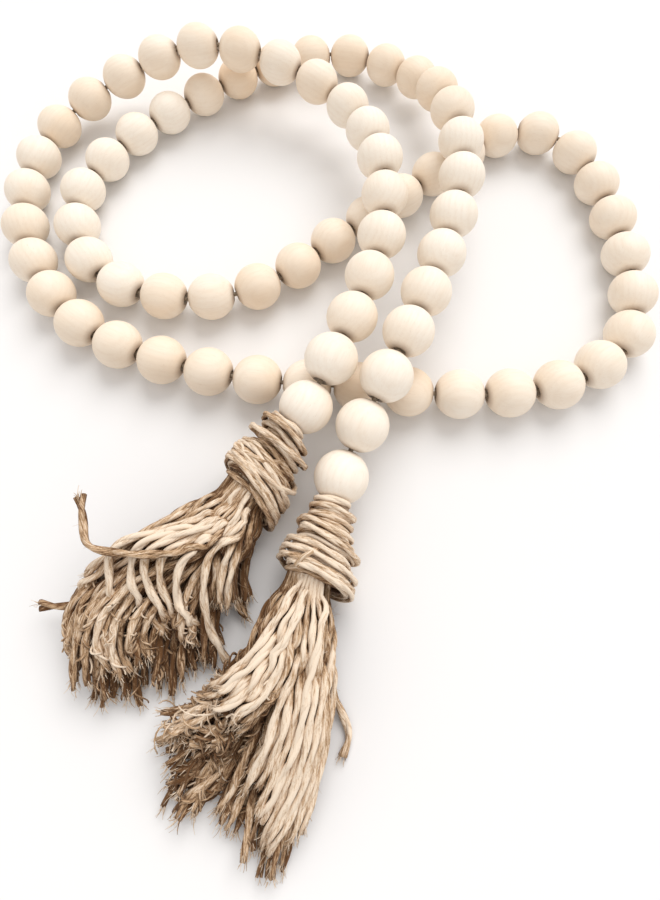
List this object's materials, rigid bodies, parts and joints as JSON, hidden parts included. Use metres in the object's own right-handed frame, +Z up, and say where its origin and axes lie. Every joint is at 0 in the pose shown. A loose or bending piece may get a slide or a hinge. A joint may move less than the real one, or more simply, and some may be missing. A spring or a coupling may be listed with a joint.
{
  "type": "wood bead garland",
  "caption": "String of round plain wooden beads with a bound jute tassel at each end, lying on a table in loose crossing loops.",
  "frame": {"origin": "on the table under the middle of the garland as it lies", "axes": "+Z up, +Y away from the tassels towards the back of the loops, +X to the right as seen from the tassels"},
  "size_m": [0.234, 0.2828, 0.0332],
  "materials": {
    "beads": "unfinished pale wood, sanded",
    "tassels": "natural jute twine, matt and hairy",
    "string": "thin natural cotton string, matt"
  },
  "bodies": {
    "root": {"beads_01_02": "beads", "beads_03_04": "beads", "beads_05_06": "beads", "beads_07_08": "beads", "beads_09_10": "beads", "beads_11_12": "beads", "beads_13_14": "beads", "beads_15_16": "beads", "beads_17_18": "beads", "beads_19_20": "beads", "beads_21_22": "beads", "beads_23_24": "beads", "beads_25_26": "beads", "beads_27_28": "beads", "beads_29_30": "beads", "beads_31_32": "beads", "beads_33_34": "beads", "beads_35_36": "beads", "beads_37_38": "beads", "beads_39_40": "beads", "beads_41_42": "beads", "beads_43_44": "beads", "beads_45_46": "beads", "beads_47_48": "beads", "beads_49_50": "beads", "beads_51_52": "beads", "beads_53_54": "beads", "beads_55_56": "beads", "beads_57_58": "beads", "beads_59_60": "beads", "beads_61_62": "beads", "beads_63_64": "beads", "beads_65_66": "beads", "beads_67_68": "beads", "beads_69_70": "beads", "beads_71_72": "beads", "beads_73_74": "beads", "beads_75_76": "beads", "binding_left": "tassels", "binding_right": "tassels", "string": "string", "tassel_left": "tassels", "tassel_right": "tassels"}
  },
  "joints": []
}
